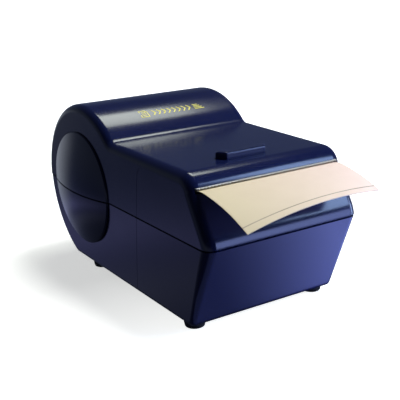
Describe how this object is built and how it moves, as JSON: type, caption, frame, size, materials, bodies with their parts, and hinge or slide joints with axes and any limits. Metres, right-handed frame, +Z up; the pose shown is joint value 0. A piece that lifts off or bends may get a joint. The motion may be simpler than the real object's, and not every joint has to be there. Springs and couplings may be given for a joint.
{
  "type": "desk note dispenser",
  "caption": "Motorised desk dispenser that feeds a strip of sticky notes from an enclosed roll out of a front slot under a push bar, with a hinged lid and a battery door.",
  "frame": {"origin": "on the resting surface, under the middle of the whole object's box, paper tip and hinge included", "axes": "+Z up, -Y towards the front where the paper leaves, +X to the right of someone who faces that front, so the width is along X"},
  "size_m": [0.0952, 0.19, 0.0889],
  "materials": {
    "shell": "semi-gloss navy moulded plastic with a fine texture",
    "button": "semi-gloss navy moulded plastic",
    "rubber": "matt black",
    "note_paper": "uncoated cream",
    "core_board": "plain brown",
    "steel": "bright",
    "screw_steel": "blackened",
    "contact_metal": "nickel plated",
    "brass": "plain",
    "white_plastic": "natural acetal",
    "black_plastic": "plain",
    "red_plastic": "plain",
    "cell_wrap": "shrunk sleeve, no print",
    "circuit_board": "solder mask",
    "capacitor_sleeve": "shrunk sleeve",
    "red_lead": "insulated wire",
    "black_lead": "insulated wire"
  },
  "bodies": {
    "base": {"base_shell": "shell", "foot_front_left": "rubber", "foot_front_right": "rubber", "foot_rear_left": "rubber", "foot_rear_right": "rubber", "note_web": "note_paper", "hinge_pin": "steel", "feed_plate_left": "steel", "feed_plate_right": "steel", "feed_crossbar": "steel", "motor_case": "steel", "first_gear_axle": "steel", "second_gear_axle": "steel", "battery_spring_1": "steel", "battery_spring_2": "steel", "battery_spring_3": "steel", "battery_spring_4": "steel", "motor_screw_front": "screw_steel", "motor_screw_rear": "screw_steel", "contact_left_front": "contact_metal", "contact_left_rear": "contact_metal", "contact_right_front": "contact_metal", "contact_right_middle": "contact_metal", "contact_right_rear": "contact_metal", "shaft_bush_left": "brass", "shaft_bush_right": "brass", "motor_end_cap": "white_plastic", "battery_box": "black_plastic", "battery_1": "cell_wrap", "battery_2": "cell_wrap", "battery_3": "cell_wrap", "battery_4": "cell_wrap", "control_board": "circuit_board", "capacitor": "capacitor_sleeve", "motor_lead_red": "red_lead", "motor_lead_black": "black_lead"},
    "lid": {"lid_shell": "shell", "tear_blade": "white_plastic", "note_strip": "note_paper", "switch_body": "black_plastic", "switch_board": "circuit_board", "pinch_bracket": "steel"},
    "button": {"button_cap": "button", "switch_plunger": "red_plastic"},
    "pinch": {"pinch_shaft": "steel", "pinch_roller": "rubber"},
    "door": {"battery_door": "shell"},
    "drive": {"drive_shaft": "steel", "drive_roller": "rubber", "drive_gear": "white_plastic"},
    "middle_gear": {"second_gear": "white_plastic"},
    "motor_gear": {"first_gear": "white_plastic"},
    "rotor": {"motor_shaft": "steel", "motor_pinion": "brass"},
    "roll": {"note_roll": "note_paper", "roll_core": "core_board", "roll_spindle": "white_plastic", "roll_hub_left": "white_plastic", "roll_hub_right": "white_plastic"}
  },
  "joints": [
    {"name": "lid_hinge", "type": "hinge", "parent": "base", "child": "lid", "pos_m": [0, 0.09335, 0.0436], "axis": [-1, 0, 0], "range_deg": [0, 88]},
    {"name": "button_press", "type": "slide", "parent": "lid", "child": "button", "axis": [0, 0, -1], "range_m": [0, 0.0008], "stiffness_N_per_m": 800, "springref_m": -0.0004},
    {"name": "door_release", "type": "slide", "parent": "base", "child": "door", "axis": [0, 0, -1], "range_m": [0, 0.02]},
    {"name": "roll_spin", "type": "hinge", "parent": "base", "child": "roll", "pos_m": [0, 0.04835, 0.0445], "axis": [1, 0, 0], "continuous": true},
    {"name": "drive_spin", "type": "hinge", "parent": "base", "child": "drive", "pos_m": [0, -0.03585, 0.0523], "axis": [1, 0, 0], "continuous": true},
    {"name": "pinch_spin", "type": "hinge", "parent": "lid", "child": "pinch", "pos_m": [0, -0.03585, 0.0644], "axis": [1, 0, 0], "continuous": true},
    {"name": "middle_gear_spin", "type": "hinge", "parent": "base", "child": "middle_gear", "pos_m": [0, -0.0316, 0.04494], "axis": [1, 0, 0], "continuous": true},
    {"name": "motor_gear_spin", "type": "hinge", "parent": "base", "child": "motor_gear", "pos_m": [0, -0.02389, 0.03575], "axis": [1, 0, 0], "continuous": true},
    {"name": "rotor_spin", "type": "hinge", "parent": "base", "child": "rotor", "pos_m": [0, -0.01181, 0.03251], "axis": [1, 0, 0], "continuous": true}
  ],
  "couplings": [
    {"joint": "drive_spin", "follows": "roll_spin", "ratio": 4.7692},
    {"joint": "pinch_spin", "follows": "roll_spin", "ratio": -6.8889},
    {"joint": "middle_gear_spin", "follows": "roll_spin", "ratio": -8.7436},
    {"joint": "motor_gear_spin", "follows": "roll_spin", "ratio": 26.231},
    {"joint": "rotor_spin", "follows": "roll_spin", "ratio": -104.92}
  ]
}
